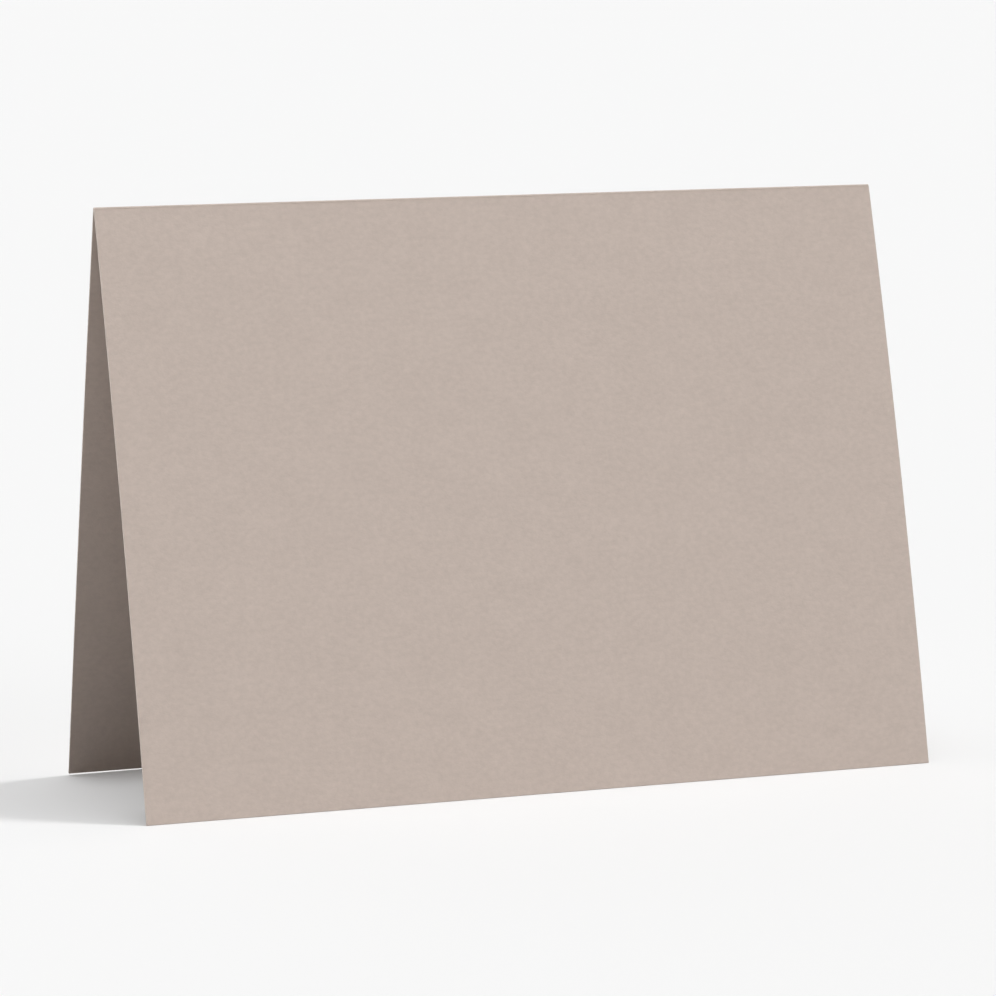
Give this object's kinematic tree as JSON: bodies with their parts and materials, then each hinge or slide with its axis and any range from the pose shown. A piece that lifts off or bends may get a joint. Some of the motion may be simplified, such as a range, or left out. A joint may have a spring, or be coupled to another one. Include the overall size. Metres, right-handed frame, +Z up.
{
  "type": "folded card",
  "caption": "Plain card of stiff paper, scored and folded once across its middle, standing as a tent on its two free edges.",
  "frame": {"origin": "on the surface the card stands on, under the middle of the fold and midway between the two free edges", "axes": "+X along the fold, -Y out of the front panel, +Z up"},
  "size_m": [0.1396, 0.0498, 0.0986],
  "materials": {
    "card_stock": "matte"
  },
  "bodies": {
    "root": {"folded_card": "card_stock"}
  },
  "joints": []
}
